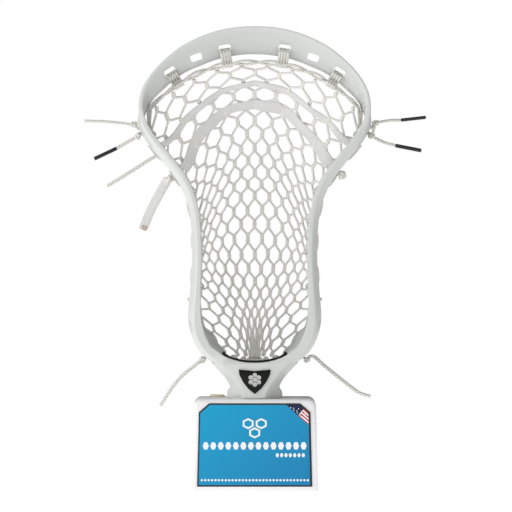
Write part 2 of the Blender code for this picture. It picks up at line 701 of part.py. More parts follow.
def main():
    clear_scene()
    parts = make_collection("lacrosse_head")
    cutters = make_collection("cutters")
    frame_cuts = bpy.data.collections.new("frame_cutters")
    cutters.children.link(frame_cuts)
    nylon = make_material("white_nylon", "#DDDEDB", 0.35)
    shell = make_material("white_block", "#E4E3E4", 0.45)
    steel = make_material("screw_steel", "#9A9C9E", 0.35, 1.0)
    cord = make_material("white_cord", "#D9D8D2", 0.85)
    knit = make_material("white_mesh", "#DAD9D3", 0.8)
    lace = make_material("white_lace", "#DCDCDA", 0.85)
    foam = make_material("black_foam", "#1C1C1C", 0.8)
    badge = make_material("black_badge", "#1A1A1C", 0.3)
    emblem = make_material("silver_emblem", "#B9BBBE", 0.3, 1.0)
    print_blue = make_material("blue_card", "#1B91BF", 0.4)
    black = make_material("black_aglet", "#161616", 0.3)
    clear = make_material("clear_tip", "#D8C4BB", 0.2)
    rubber = make_material("rubber_band", "#D9CFB4", 0.6)

    lift = bpy.data.objects.new("head_lift", None)
    parts.objects.link(lift)

    make_housing(parts, cutters, shell)
    make_base(parts, cutters, shell, steel)
    make_card(parts, print_blue)
    make_band(parts, rubber)
    make_head_frame(parts, cutters, frame_cuts, nylon, lift)
    make_pad(parts, foam, lift)
    make_badge(parts, badge, emblem, lift)
    make_pocket(parts, knit, lift)
    make_border_strings(parts, cord, lift)
    make_hangers(parts, cord, lift)
    make_laces(parts, lace, lift)
    make_knots(parts, cord, lift)
    make_tails(parts, cord, black, clear, lift)


main()
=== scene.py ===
import bisect
import bpy
import math
import random
from mathutils import Matrix, Vector


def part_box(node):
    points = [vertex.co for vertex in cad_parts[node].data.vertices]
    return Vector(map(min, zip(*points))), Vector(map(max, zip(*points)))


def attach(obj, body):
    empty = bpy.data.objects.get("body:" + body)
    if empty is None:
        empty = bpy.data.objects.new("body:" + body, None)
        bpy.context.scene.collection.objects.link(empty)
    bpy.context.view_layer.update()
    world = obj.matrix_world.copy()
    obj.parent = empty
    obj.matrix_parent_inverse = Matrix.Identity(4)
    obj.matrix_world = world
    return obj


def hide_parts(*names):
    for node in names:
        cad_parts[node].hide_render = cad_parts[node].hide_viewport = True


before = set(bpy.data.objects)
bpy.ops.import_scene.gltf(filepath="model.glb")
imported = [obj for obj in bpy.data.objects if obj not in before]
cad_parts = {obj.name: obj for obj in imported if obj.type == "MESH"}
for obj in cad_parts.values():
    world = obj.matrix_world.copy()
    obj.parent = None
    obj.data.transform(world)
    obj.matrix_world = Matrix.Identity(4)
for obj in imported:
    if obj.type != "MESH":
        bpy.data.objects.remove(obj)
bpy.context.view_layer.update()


# ------------------------------------------------------------------ display block
# The block is a hollow injection-moulded stand of white ABS, open below and drafted so that it
# leaves its mould. Its outside is lightly spark-eroded, which breaks up the shine.

MM = 0.001


def linear(hex_colour):
    """An sRGB hex colour as linear light, with alpha 1."""
    channels = [int(hex_colour[i:i + 2], 16) / 255 for i in (1, 3, 5)]
    light = [c / 12.92 if c <= 0.04045 else ((c + 0.055) / 1.055) ** 2.4 for c in channels]
    return (*light, 1.0)


def add(material, kind, settings=(), inputs=(), links=()):
    """Adds a node with its settings, its inputs' values, and links from other nodes' outputs."""
    made = material.node_tree.nodes.new(kind)
    for key, value in dict(settings).items():
        setattr(made, key, value)
    for key, value in dict(inputs).items():
        made.inputs[key].default_value = value
    for key, socket in dict(links).items():
        material.node_tree.links.new(socket, made.inputs[key])
    return made


def moulded(name, colour, dark, roughness, patch, grain, depth, metallic=0.0):
    """A solid material: patches between two near colours, and a grain of a real size, in mm."""
    material = bpy.data.materials.new(name)
    material.use_nodes = True
    links = material.node_tree.links
    shader = material.node_tree.nodes["Principled BSDF"]
    shader.inputs["Metallic"].default_value = metallic
    place = add(material, "ShaderNodeTexCoord").outputs["Object"]
    cloud = add(material, "ShaderNodeTexNoise", inputs={"Scale": 1000 / patch, "Detail": 3.0},
                links={"Vector": place})
    tint = add(material, "ShaderNodeMix", {"data_type": "RGBA"},
               {6: linear(dark), 7: linear(colour)}, {0: cloud.outputs["Fac"]})
    links.new(tint.outputs[2], shader.inputs["Base Color"])
    shine = add(material, "ShaderNodeMapRange",
                inputs={"To Min": roughness - 0.06, "To Max": roughness + 0.06},
                links={"Value": cloud.outputs["Fac"]})
    links.new(shine.outputs["Result"], shader.inputs["Roughness"])
    grit = add(material, "ShaderNodeTexNoise", inputs={"Scale": 1000 / grain, "Detail": 2.0},
               links={"Vector": place})
    bump = add(material, "ShaderNodeBump", inputs={"Strength": 0.5, "Distance": depth * MM},
               links={"Height": grit.outputs["Fac"]})
    links.new(bump.outputs["Normal"], shader.inputs["Normal"])
    return material


def refined(node, name, body, material, angle=35, bevel=0.0):
    """A CAD solid with its triangles merged, its small edges rounded and its curves shaded."""
    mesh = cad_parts[node].data.copy()
    mesh.name = name
    piece = bpy.data.objects.new(name, mesh)
    bpy.context.scene.collection.objects.link(piece)
    bpy.ops.object.select_all(action="DESELECT")
    bpy.context.view_layer.objects.active = piece
    piece.select_set(True)
    bpy.ops.object.mode_set(mode="EDIT")
    bpy.ops.mesh.select_all(action="SELECT")
    bpy.ops.mesh.remove_doubles(threshold=0.00001)
    bpy.ops.mesh.tris_convert_to_quads(face_threshold=math.radians(2))
    bpy.ops.object.mode_set(mode="OBJECT")
    if bevel:
        rounding = piece.modifiers.new("Rounding", "BEVEL")
        rounding.width = bevel * MM
        rounding.segments = 2
        rounding.limit_method = "ANGLE"
        rounding.angle_limit = math.radians(angle)
        bpy.ops.object.modifier_apply(modifier=rounding.name)
    bpy.ops.object.shade_smooth_by_angle(angle=math.radians(angle))
    mesh.materials.clear()
    mesh.materials.append(material)
    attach(piece, body)
    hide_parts(node)
    return piece


# White ABS, spark-eroded: a soft sheen with no mirror edge. The real grit is finer than 0.1 mm.
white_abs = moulded("white ABS, spark-eroded", "#F6F5F6", "#EDECEE", 0.42, 30, 0.9, 0.03)
white_abs.node_tree.nodes["Principled BSDF"].inputs["IOR"].default_value = 1.54
refined("block_housing", "moulded_housing", "display_block", white_abs, 40)


# ------------------------------------------------------------------ base plate, post and screws
# A plate snaps into the block from below. Two zinc-plated screws hold an octagonal post on it,
# and the post fills the head's socket as a shaft would.

refined("base_plate", "snap_in_base", "display_block", white_abs, 40)
# Extruded grey-white PVC: a little duller than the block, with faint patches.
post_pvc = moulded("grey-white PVC, extruded", "#DCDBD9", "#D2D1CF", 0.5, 14, 1.2, 0.02)
refined("support_post", "octagonal_post", "display_block", post_pvc, 30)
# Zinc-plated steel: bright metal whose plating clouds it a little.
zinc = moulded("zinc-plated steel", "#B9BCC0", "#8E9196", 0.32, 3, 0.4, 0.01, metallic=1.0)
for side in ("left", "right"):
    refined("post_screw_" + side, "zinc_screw_" + side, "display_block", zinc, 50)


# ------------------------------------------------------------------ printed card
# A PVC card is glued on the block's front. It is printed black, with a blue field over it, a
# striped flash in one corner, three open cells in the middle and rows of small white lozenges.

black_print = moulded("black ink on PVC", "#14161A", "#0E1014", 0.34, 10, 0.5, 0.004)
refined("label_card", "printed_card", "display_block", black_print, 40)


def ink(name, colour, other, slope=(0.0, 0.0, 0.0), start=0.0):
    """Flat gloss ink that runs from one colour to the other along a slope, per metre."""
    material = bpy.data.materials.new(name)
    material.use_nodes = True
    shader = material.node_tree.nodes["Principled BSDF"]
    shader.inputs["Roughness"].default_value = 0.3
    shader.inputs["Specular IOR Level"].default_value = 0.25
    place = add(material, "ShaderNodeTexCoord").outputs["Object"]
    run = add(material, "ShaderNodeVectorMath", {"operation": "DOT_PRODUCT"}, {1: slope},
              {0: place})
    share = add(material, "ShaderNodeMath", {"operation": "ADD", "use_clamp": True}, {1: start},
                {0: run.outputs["Value"]})
    tint = add(material, "ShaderNodeMix", {"data_type": "RGBA"},
               {6: linear(colour), 7: linear(other)}, {0: share.outputs["Value"]})
    dots = add(material, "ShaderNodeTexNoise", inputs={"Scale": 1000 / 0.6},
               links={"Vector": place})
    bump = add(material, "ShaderNodeBump", inputs={"Strength": 0.3, "Distance": 0.004 * MM},
               links={"Height": dots.outputs["Fac"]})
    material.node_tree.links.new(tint.outputs[2], shader.inputs["Base Color"])
    material.node_tree.links.new(bump.outputs["Normal"], shader.inputs["Normal"])
    return material


def field(name, corners, lift, material):
    """A printed field from a flat outline of x and z, in mm, a hair proud of the card."""
    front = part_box("label_card")[0].y - lift * MM
    bpy.ops.object.select_all(action="DESELECT")
    bpy.ops.mesh.primitive_circle_add(vertices=len(corners), radius=0.01, fill_type="NGON")
    piece = bpy.context.object
    piece.name = name
    for vertex, (x, z) in zip(piece.data.vertices, corners):
        vertex.co = (x * MM, front, z * MM)
    bpy.ops.object.mode_set(mode="EDIT")
    bpy.ops.mesh.select_all(action="SELECT")
    bpy.ops.mesh.extrude_region_move(TRANSFORM_OT_translate={"value": (0, 0.05 * MM, 0)})
    bpy.ops.mesh.select_all(action="SELECT")
    bpy.ops.mesh.normals_make_consistent(inside=False)
    bpy.ops.object.mode_set(mode="OBJECT")
    piece.data.materials.append(material)
    return piece


def printed(name, fields):
    """The fields joined into one printed layer on the card."""
    bpy.ops.object.select_all(action="DESELECT")
    for piece in fields:
        piece.select_set(True)
    bpy.context.view_layer.objects.active = fields[0]
    if len(fields) > 1:
        bpy.ops.object.join()
    layer = bpy.context.view_layer.objects.active
    layer.name = name
    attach(layer, "display_block")
    return layer


def cell(x, z, width, height, turn=0.0):
    """The six corners of a lozenge-like cell, in mm."""
    corners = [math.radians(turn + 60 * k) for k in range(6)]
    return [(x + width / 2 * math.cos(a), z + height / 2 * math.sin(a)) for a in corners]


# Blue gloss ink, a little darker towards the lower right.
blue_ink = ink("blue ink on PVC", "#12A0CE", "#127FB2", (5.9, 0.0, -8.0), 0.78)
blue_half = [(42.6, 4.9), (41.3, 59.5), (34.1, 65.8)]
blue_outline = [(-x, z) for x, z in blue_half] + [(x - 0.4, z) for x, z in reversed(blue_half)]
printed("card_blue", [field("blue", blue_outline, 0.1, blue_ink)])
# White ink, opaque and slightly raised.
white_ink = ink("white ink on PVC", "#F2F5F7", "#F2F5F7")
emblem_cells = [(-5.0, 51.6), (5.0, 51.6), (0.0, 44.6)]
white_fields = [field("cell", cell(x, z, 9.6, 8.4, 30), 0.14, white_ink) for x, z in emblem_cells]
white_fields += [field("row", cell(-37.2 + 5.72 * k, 34.7, 4.6, 6.4), 0.14, white_ink)
                 for k in range(14)]
white_fields += [field("row", cell(17.2 + 3.3 * k, 27.6, 2.5, 3.4), 0.14, white_ink)
                 for k in range(7)]
white_fields += [field("row", cell(-40.2 + 2.6 * k, 8.6, 1.9, 1.8), 0.14, white_ink)
                 for k in range(32)]
printed("card_white_rows", white_fields)
printed("card_cell_centres", [field("cell", cell(x, z, 6.4, 5.4, 30), 0.18, blue_ink)
                              for x, z in emblem_cells])
# Corner flash: a navy field with white dots, then red and white stripes.
navy_ink = ink("navy ink on PVC", "#1B2147", "#1B2147")
red_ink = ink("red ink on PVC", "#C2333C", "#C2333C")
printed("card_flash_navy", [field("navy", [(24.2, 65.8), (32.9, 57.6), (37.4, 62.9), (34.0, 65.8)],
                                  0.14, navy_ink)])
stripe_start = ((32.9, 57.6), (37.4, 62.9))
stripe_end = ((41.0, 50.7), (40.8, 59.7))


def between(pair, share):
    """The point at a share of the way from one point to the other."""
    return tuple(a + (b - a) * share for a, b in zip(*pair))


printed("card_flash_red", [field("red", [stripe_start[0], stripe_end[0], stripe_end[1],
                                         stripe_start[1]], 0.14, red_ink)])
flash_white = []
for low in (0.12, 0.42, 0.72):
    flash_white.append(field("stripe", [between(stripe_start, low), between(stripe_end, low),
                                        between(stripe_end, low + 0.15),
                                        between(stripe_start, low + 0.15)], 0.18, white_ink))
for row in range(3):
    for k in range(4 - row % 2):
        x = 27.4 + 2.5 * k + 1.7 * row + (row % 2) * 0.5
        z = 63.7 - 1.95 * k + 0.55 * row - (row % 2) * 1.0
        if z < 64.6 and x + z < 98.4:
            flash_white.append(field("dot", cell(x, z, 0.9, 0.9), 0.18, white_ink))
printed("card_flash_white", flash_white)


# ------------------------------------------------------------------ head frame
# One injection moulding of white nylon: scoop, sidewalls, ball-stop shelf and throat. Its socket
# slides over the post, and strings pass through its slots and holes.

# White nylon: a satin skin with a faint cloud in the colour. Its grain is drawn coarse enough to
# show.
white_nylon = moulded("white nylon, injection-moulded", "#D5D7D4", "#CDCFCC", 0.36, 24, 0.8, 0.012)
white_nylon.node_tree.nodes["Principled BSDF"].inputs["IOR"].default_value = 1.53
refined("head_frame", "moulded_head_frame", "head", white_nylon, 30)


# ------------------------------------------------------------------ ball-stop pad and badge
# A strip of closed-cell foam is glued on the shelf. The badge is a gloss black shield on two
# pins, with a plated honeycomb of seven small cells raised on its face.

# Black EVA foam: matt, with open pits where its skin was skived off.
eva_foam = moulded("black EVA foam, skived", "#141415", "#0C0C0D", 0.9, 4, 0.7, 0.12)
eva_foam.node_tree.nodes["Principled BSDF"].inputs["Specular IOR Level"].default_value = 0.25
pad = refined("ball_stop_pad", "foam_ball_stop_pad", "head", eva_foam, 40, 0.2)
PAD_FRONT, PAD_DEPTH, PAD_HALF = -19.5, 41.5, 26.0
# The whole strip is set lower, most of all at its back and its two ends, so that it sinks into
# the shelf. Its thickness stays.
for vertex in pad.data.vertices:
    backward = (vertex.co.y / MM - PAD_FRONT) / PAD_DEPTH
    outward = abs(vertex.co.x) / MM / PAD_HALF
    vertex.co.z -= (0.4 + 1.1 * backward + 1.2 * outward**4) * MM

# Black ABS, polished mould: its specular level is kept low, so that only the bevel catches light.
gloss_black = moulded("black ABS, polished", "#0A0A0B", "#060607", 0.34, 8, 0.6, 0.003)
gloss_black.node_tree.nodes["Principled BSDF"].inputs["Specular IOR Level"].default_value = 0.2
shield = refined("badge_plate", "badge_shield", "head", gloss_black, 40, 0.25)
SHIELD_POINT, SHIELD_HEIGHT = 73.8, 18.6
# It is narrowed towards its point, so that its sides run straighter than a plain bevel leaves them.
for vertex in shield.data.vertices:
    share = (vertex.co.z / MM - SHIELD_POINT) / SHIELD_HEIGHT
    vertex.co.x *= min(1.0, 0.62 + 0.42 * share)
# Nickel plate on ABS: pale metal with a satin break-up.
nickel = moulded("satin nickel plate", "#CFCFCC", "#B4B5B4", 0.3, 2, 0.3, 0.006, metallic=1.0)
badge_low, badge_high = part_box("badge_emblem")
honeycomb = []
for k in range(7):
    turn = math.radians(60 * k + 30)
    reach = 0.0 if k == 6 else 3.5 * MM
    bpy.ops.object.select_all(action="DESELECT")
    place = (reach * math.cos(turn), reach * math.sin(turn), 0)
    bpy.ops.mesh.primitive_cylinder_add(vertices=6, radius=1.9 * MM, depth=0.4 * MM,
                                        location=place)
    comb = bpy.context.object
    bpy.ops.object.mode_set(mode="EDIT")
    bpy.ops.mesh.select_mode(type="FACE")
    bpy.ops.mesh.select_all(action="DESELECT")
    bpy.ops.object.mode_set(mode="OBJECT")
    for face in comb.data.polygons:
        face.select = face.normal.z > 0.9
    bpy.ops.object.mode_set(mode="EDIT")
    bpy.ops.mesh.inset(thickness=0.55 * MM)
    bpy.ops.transform.translate(value=(0, 0, -0.25 * MM))
    bpy.ops.object.mode_set(mode="OBJECT")
    honeycomb.append(comb)
for comb in honeycomb:
    comb.select_set(True)
bpy.ops.object.join()
comb = bpy.context.view_layer.objects.active
comb.name = "badge_honeycomb"
comb.data.transform(comb.matrix_world)
comb.matrix_world = Matrix.Identity(4)
comb.data.transform(Matrix.Translation((0, (badge_low.y + badge_high.y) / 2, 84.6 * MM))
                    @ Matrix.Rotation(math.radians(90), 4, "X"))
comb.data.materials.append(nickel)
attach(comb, "head")
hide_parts("badge_emblem")


# ------------------------------------------------------------------ mesh pocket
# Ten-diamond pocket mesh, warp-knitted from waxed polyester. Fine runs part and meet again, and
# where two meet they are knitted together into a short upright bar.

CELLS_ACROSS = 10
BAR_SHARE = 0.29              # half a bar, as a share of the distance between rows
BAR_WIDTH = 3.0
BAR_THICKNESS = 2.0
RUN_WIDTH = 1.85
STITCH = 2.2                  # from one stitch of the knit to the next
STEP = 0.8                    # between the rings of a cord's tube

# The hung mesh: row number; height at the middle and at the edge; half width; depth at the edge
# and at the middle; how far the cells spread outwards; and the power of the arch.
MESH_ROWS = [
    (0.0, 324.8, 289.0, 81.0, 5.0, -12.0, 0.20, 2.2),
    (1.0, 319.8, 272.5, 78.3, 7.0, -7.0, 0.21, 2.1),
    (3.0, 304.4, 255.5, 65.5, 10.0, 7.0, 0.26, 2.25),
    (5.0, 284.6, 237.5, 51.5, 12.0, 22.0, 0.31, 2.45),
    (7.0, 263.5, 223.5, 45.5, 13.3, 33.5, 0.19, 2.4),
    (9.0, 244.8, 211.5, 43.0, 14.2, 41.3, 0.23, 2.6),
    (11.0, 226.1, 200.0, 41.5, 15.0, 47.8, 0.36, 2.6),
    (13.0, 204.6, 188.5, 40.8, 16.0, 53.0, 0.38, 2.6),
    (15.0, 180.3, 177.0, 40.8, 17.0, 57.0, 0.28, 2.6),
    (17.0, 158.2, 165.0, 41.0, 18.0, 56.2, 0.08, 2.6),
    (19.0, 141.0, 151.0, 41.8, 18.7, 52.0, -0.18, 2.6),
    (21.0, 126.7, 135.0, 42.5, 19.5, 46.5, -0.46, 2.6),
    (23.0, 108.8, 117.0, 37.0, 23.0, 37.0, -0.68, 2.6),
    (24.5, 98.8, 104.0, 28.0, 28.0, 30.5, -0.75, 2.6),
]
LAST_ROW = 24


def read_rows(rows, place):
    """The values at any place on a smooth curve through rows that each begin with their place."""
    starts = [row[0] for row in rows]
    i = max(0, min(len(rows) - 2, bisect.bisect_right(starts, place) - 1))
    low, high = max(i - 1, 0), min(i + 2, len(rows) - 1)
    step = starts[i + 1] - starts[i]
    t = (place - starts[i]) / step
    values = []
    for column in range(1, len(rows[0])):
        a, b = rows[i][column], rows[i + 1][column]
        slope_a = (b - rows[low][column]) / (starts[i + 1] - starts[low]) * step
        slope_b = (rows[high][column] - a) / (starts[high] - starts[i]) * step
        values.append((2 * t**3 - 3 * t**2 + 1) * a + (t**3 - 2 * t**2 + t) * slope_a
                      + (3 * t**2 - 2 * t**3) * b + (t**3 - t**2) * slope_b)
    return values


def mesh_point(cells, row):
    """A point of the hung mesh, in mm: cells from the middle, -5 to 5, and rows from the top."""
    middle, edge, half, edge_depth, middle_depth, spread, arch = read_rows(MESH_ROWS, row)
    share = max(-1.0, min(1.0, cells / (CELLS_ACROSS / 2)))
    share += spread * share * (1 - share * share)
    bulge = (1 - min(1.0, abs(share)) ** 2.35) ** 0.425
    return Vector((share * half, edge_depth + (middle_depth - edge_depth) * bulge,
                   middle + (edge - middle) * abs(share) ** arch))


def mesh_side(cells, row):
    """The way across the mesh at a point."""
    return (mesh_point(cells + 0.1, row) - mesh_point(cells - 0.1, row)).normalized()


def mesh_facing(cells, row):
    """The way out of the mesh at a point, towards the open face of the head."""
    down = mesh_point(cells, min(row + 0.2, 24.5)) - mesh_point(cells, max(row - 0.2, 0))
    return down.cross(mesh_side(cells, row)).normalized()


def smoothed(rows, step):
    """Rows of numbers about a step apart, in mm, on a smooth curve through the given rows."""
    result = []
    for i in range(len(rows) - 1):
        around = [rows[max(i - 1, 0)], rows[i], rows[i + 1], rows[min(i + 2, len(rows) - 1)]]
        count = max(1, round(math.dist(around[1][:3], around[2][:3]) / step))
        for k in range(count):
            t = k / count
            result.append([b + 0.5 * ((c - a) * t + (2 * a - 5 * b + 4 * c - d) * t * t
                                      + (3 * b - a - 3 * c + d) * t**3)
                           for a, b, c, d in zip(*around)])
    result.append(list(rows[-1]))
    return result


def sweep(rows, width, thick, sides=8, square=1.0, ripple=0.0, pitch=3.0, ends=1.0):
    """A closed tube along rows of x, y, z in mm and, if they go on, the way that it faces.

    Ripple raises the crossing plaits of a braid. The ends shrink to a share of the width.
    """
    points = [Vector(row[:3]) for row in rows]
    last = len(points) - 1
    facing = Vector(rows[0][3:6]) if len(rows[0]) > 3 else Vector((0.31, -0.9, 0.27))
    corners, faces, marks, run = [], [], [], 0.0
    runs = []
    for i, point in enumerate(points):
        along = (points[min(i + 1, last)] - points[max(i - 1, 0)]).normalized()
        if len(rows[i]) > 3:
            facing = Vector(rows[i][3:6])
        side = along.cross(facing).normalized()
        facing = side.cross(along)
        if i:
            run += (point - points[i - 1]).length
        runs.append(run)
        shrink = ends if i in (0, last) else 1.0
        for s in range(sides):
            turn = 2 * math.pi * s / sides
            phase = 2 * math.pi * run / pitch
            swell = shrink * (1 + ripple * math.cos(phase + 2 * turn) * math.cos(phase - 2 * turn))
            across, out = math.cos(turn), math.sin(turn)
            reach = math.copysign(abs(across) ** square, across) * width / 2 * swell
            rise = math.copysign(abs(out) ** square, out) * thick / 2 * swell
            corners.append((point + side * reach + facing * rise) * MM)
    for i in range(last):
        for s in range(sides):
            n = (s + 1) % sides
            faces.append((i * sides + s, (i + 1) * sides + s, (i + 1) * sides + n, i * sides + n))
            marks += [(s / sides, runs[i]), (s / sides, runs[i + 1]),
                      ((s + 1) / sides, runs[i + 1]), ((s + 1) / sides, runs[i])]
    faces.append(tuple(range(sides)))
    faces.append(tuple(reversed(range(last * sides, (last + 1) * sides))))
    marks += [(s / sides, 0.0) for s in range(sides)]
    marks += [(s / sides, run) for s in reversed(range(sides))]
    return corners, faces, marks


def strung(name, tubes, material):
    """One piece of the head from several tubes, with a UV map of turns round and mm along."""
    corners, faces, marks = [], [], []
    for tube_corners, tube_faces, tube_marks in tubes:
        start = len(corners)
        corners += tube_corners
        faces += [tuple(start + corner for corner in face) for face in tube_faces]
        marks += tube_marks
    mesh = bpy.data.meshes.new(name)
    mesh.from_pydata(corners, [], faces)
    layer = mesh.uv_layers.new(name="UVMap")
    layer.data.foreach_set("uv", [number for mark in marks for number in mark])
    mesh.shade_smooth()
    mesh.materials.append(material)
    piece = bpy.data.objects.new(name, mesh)
    bpy.context.scene.collection.objects.link(piece)
    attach(piece, "head")
    return piece


def textile(name, light, crease_shade, pitch, plaits, depth, roughness=0.82):
    """Yarn whose plaits cross at a pitch in mm, on the piece's own UV map, with a little fuzz."""
    material = bpy.data.materials.new(name)
    material.use_nodes = True
    links = material.node_tree.links
    shader = material.node_tree.nodes["Principled BSDF"]
    shader.inputs["Roughness"].default_value = roughness
    shader.inputs["Sheen Weight"].default_value = 0.25
    chart = add(material, "ShaderNodeUVMap", {"uv_map": "UVMap"})
    parts = add(material, "ShaderNodeSeparateXYZ", links={0: chart.outputs["UV"]})
    along = add(material, "ShaderNodeMath", {"operation": "MULTIPLY"}, {1: 2 * math.pi / pitch},
                {0: parts.outputs["Y"]})
    waves = []
    for lean in (plaits, -plaits):
        slant = add(material, "ShaderNodeMath", {"operation": "MULTIPLY_ADD"},
                    {1: 2 * math.pi * lean}, {0: parts.outputs["X"], 2: along.outputs["Value"]})
        waves.append(add(material, "ShaderNodeMath", {"operation": "SINE"},
                         links={0: slant.outputs["Value"]}))
    plait = add(material, "ShaderNodeMath", {"operation": "MAXIMUM"},
                links={0: waves[0].outputs["Value"], 1: waves[1].outputs["Value"]})
    raised = add(material, "ShaderNodeMapRange", inputs={"From Min": -0.7, "From Max": 0.9},
                 links={"Value": plait.outputs["Value"]})
    place = add(material, "ShaderNodeTexCoord").outputs["Object"]
    fuzz = add(material, "ShaderNodeTexNoise", inputs={"Scale": 1000 / 0.7, "Detail": 2.0},
               links={"Vector": place})
    rough_height = add(material, "ShaderNodeMath", {"operation": "MULTIPLY_ADD"}, {1: 0.45},
                       {0: fuzz.outputs["Fac"], 2: raised.outputs["Result"]})
    # Painted shade: the creases between the raised plaits take the darker crease colour, as if
    # shadowed; the bump below also shapes them.
    tint = add(material, "ShaderNodeMix", {"data_type": "RGBA"},
               {6: linear(crease_shade), 7: linear(light)}, {0: raised.outputs["Result"]})
    bump = add(material, "ShaderNodeBump", inputs={"Strength": 0.7, "Distance": depth * MM},
               links={"Height": rough_height.outputs["Value"]})
    links.new(tint.outputs[2], shader.inputs["Base Color"])
    links.new(bump.outputs["Normal"], shader.inputs["Normal"])
    return material


# Waxed polyester knit: matt white, with painted shade in warm grey in the creases between the
# stitches.
knit = textile("waxed polyester knit", "#F1F0EC", "#D6D4CD", STITCH, 2, 0.22)
stagger = random.Random(11)
shifts = {(c, r): (stagger.gauss(0, 0.16), stagger.gauss(0, 0.035))
          for r in range(LAST_ROW + 1) for c in range(-CELLS_ACROSS, CELLS_ACROSS + 1)}


def joint_point(column, row, down, aside=0.0, out=0.0):
    """A point by a bar of the mesh: rows down from its middle, and mm aside and outwards."""
    shift_aside, shift_down = shifts[column, row] if abs(column) < CELLS_ACROSS else (0.0, 0.0)
    cells, place = column / 2, min(24.5, max(0.0, row + down + shift_down))
    point = mesh_point(cells, place)
    return (point + mesh_side(cells, place) * (aside + shift_aside)
            + mesh_facing(cells, place) * out)


mesh_tubes = []
for row in range(LAST_ROW + 1):
    for column in range(-CELLS_ACROSS, CELLS_ACROSS + 1):
        if (column + row) % 2 == 0:
            continue
        stops = [-BAR_SHARE, -BAR_SHARE / 2, 0.0, BAR_SHARE / 2, BAR_SHARE]
        bar = [(*joint_point(column, row, down), *mesh_facing(column / 2, row)) for down in stops]
        mesh_tubes.append(sweep(smoothed(bar, STEP), BAR_WIDTH, BAR_THICKNESS, 8, 1.0, 0.14,
                                STITCH, 0.62))
        for lean in (-1, 1):
            if abs(column + lean) > CELLS_ACROSS or row == LAST_ROW:
                continue
            middle = (joint_point(column, row, 0.5) + joint_point(column + lean, row + 1, -0.5)) / 2
            run = [joint_point(column, row, BAR_SHARE - 0.12, 0.45 * lean),
                   joint_point(column, row, BAR_SHARE, 0.7 * lean),
                   middle,
                   joint_point(column + lean, row + 1, -BAR_SHARE, -0.7 * lean),
                   joint_point(column + lean, row + 1, 0.12 - BAR_SHARE, -0.45 * lean)]
            mesh_tubes.append(sweep(smoothed(run, 0.9), RUN_WIDTH, RUN_WIDTH, 6, 1.0, 0.1, STITCH))
pocket = strung("knitted_mesh_pocket", mesh_tubes, knit)
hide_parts("mesh_pocket")


# ------------------------------------------------------------------ top, side and bottom strings
# Braided nylon cord. Two cords twist together along the mesh's top. At each side one cord laces
# the mesh's edge to the holes in the rail, and one more runs round the mesh's foot.

# Waxed nylon braid: a hard round cord whose crossing plaits show as small lozenges, with painted
# shade in the creases between them.
PLAIT_HEIGHT = 0.1            # share of the cord's radius
PLAIT_PITCH = 3.2
nylon_braid = textile("waxed nylon braid", "#EBEAE5", "#BDBAB0", PLAIT_PITCH, 3, 0.28)


def cord(rows, diameter, pitch=PLAIT_PITCH, ends=1.0):
    """A round braided cord along rows of x, y, z, in mm."""
    return sweep(rows, diameter, diameter, 8, 1.0, PLAIT_HEIGHT, pitch, ends)


def smooth_cord(rows, diameter):
    """A round braided cord on a smooth curve through the given rows."""
    return cord(smoothed(rows, STEP), diameter)


# Holes in the right rail, from the top: outer and inner mouth (x, z), and depth.
RAIL_HOLES = [
    ((87.9, 274.4), (83.4, 276.5), 8.1), ((80.9, 263.5), (77.1, 266.5), 10.0),
    ((72.5, 253.9), (69.0, 257.0), 11.4), ((64.5, 243.8), (60.8, 246.7), 12.7),
    ((57.4, 233.2), (53.3, 235.5), 13.9), ((52.2, 221.5), (47.8, 223.0), 14.8),
    ((49.4, 209.1), (44.8, 209.7), 15.8), ((48.2, 196.3), (43.6, 196.6), 16.8),
    ((47.8, 183.5), (43.2, 183.6), 17.9), ((48.1, 170.7), (43.4, 170.4), 18.8),
    ((49.1, 158.0), (44.2, 157.6), 19.8), ((50.3, 145.2), (45.2, 144.7), 20.8),
]
# The row of the mesh's edge that each inside stretch of the side string takes up.
EDGE_ROWS = [1.0, 4.0, 6.2, 10.0, 14.2, 18.4]


def hole_end(side, number, reach):
    """A point on a rail hole's line: reach mm beyond the outer mouth, or inside if negative."""
    (x, z), (inner_x, inner_z), depth = RAIL_HOLES[number]
    out = Vector((x - inner_x, 0, z - inner_z))
    wall = out.length
    out.normalize()
    start = Vector((x, depth, z)) + out * (reach if reach > 0 else reach - wall)
    return Vector((start.x * side, start.y, start.z))


twist = []
for strand in (-1, 1):
    rows = [hole_end(-1, 0, -2.0)]
    for i in range(121):
        cells = -5 + i / 12
        point = mesh_point(cells, 0.0)
        up = (point - mesh_point(cells, 0.3)).normalized()
        apart = math.sin(math.pi * cells) * (1.0 if abs(cells) > 3.2 else 1.6)
        rows.append(point + up * (3.2 + strand * apart)
                    + mesh_facing(cells, 0.0) * 1.15 * strand * math.cos(math.pi * cells))
    rows.append(hole_end(1, 0, -2.0))
    twist.append(smooth_cord(rows, 2.2))
top_string = strung("twisted_top_string", twist, nylon_braid)
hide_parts("top_string")

for side, word in ((-1, "left"), (1, "right")):
    lacing = []
    for number in range(0, len(RAIL_HOLES), 2):
        edge = mesh_point(side * 5, EDGE_ROWS[number // 2])
        if number:
            lacing += [hole_end(side, number, 0.1), hole_end(side, number, -0.5)]
        else:
            lacing += [hole_end(side, 0, 2.2), hole_end(side, 0, -0.5)]
        lacing += [edge + Vector((0, -1.6, 2.2)), edge + Vector((-side * 1.6, 0, 0)),
                   edge + Vector((0, 1.6, -2.2))]
        lacing += [hole_end(side, number + 1, -0.5), hole_end(side, number + 1, 0.1)]
    border = []
    for i in range(85):
        row = 0.2 + 0.25 * i
        edge = mesh_point(side * 5, row)
        border.append(edge + Vector((side * 0.9, 1.5 * math.cos(math.pi * row), 0)))
    side_string = strung("laced_side_string_" + word,
                         [smooth_cord(lacing, 1.7), smooth_cord(border, 2.0)], nylon_braid)
    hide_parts("sidewall_string_" + word)

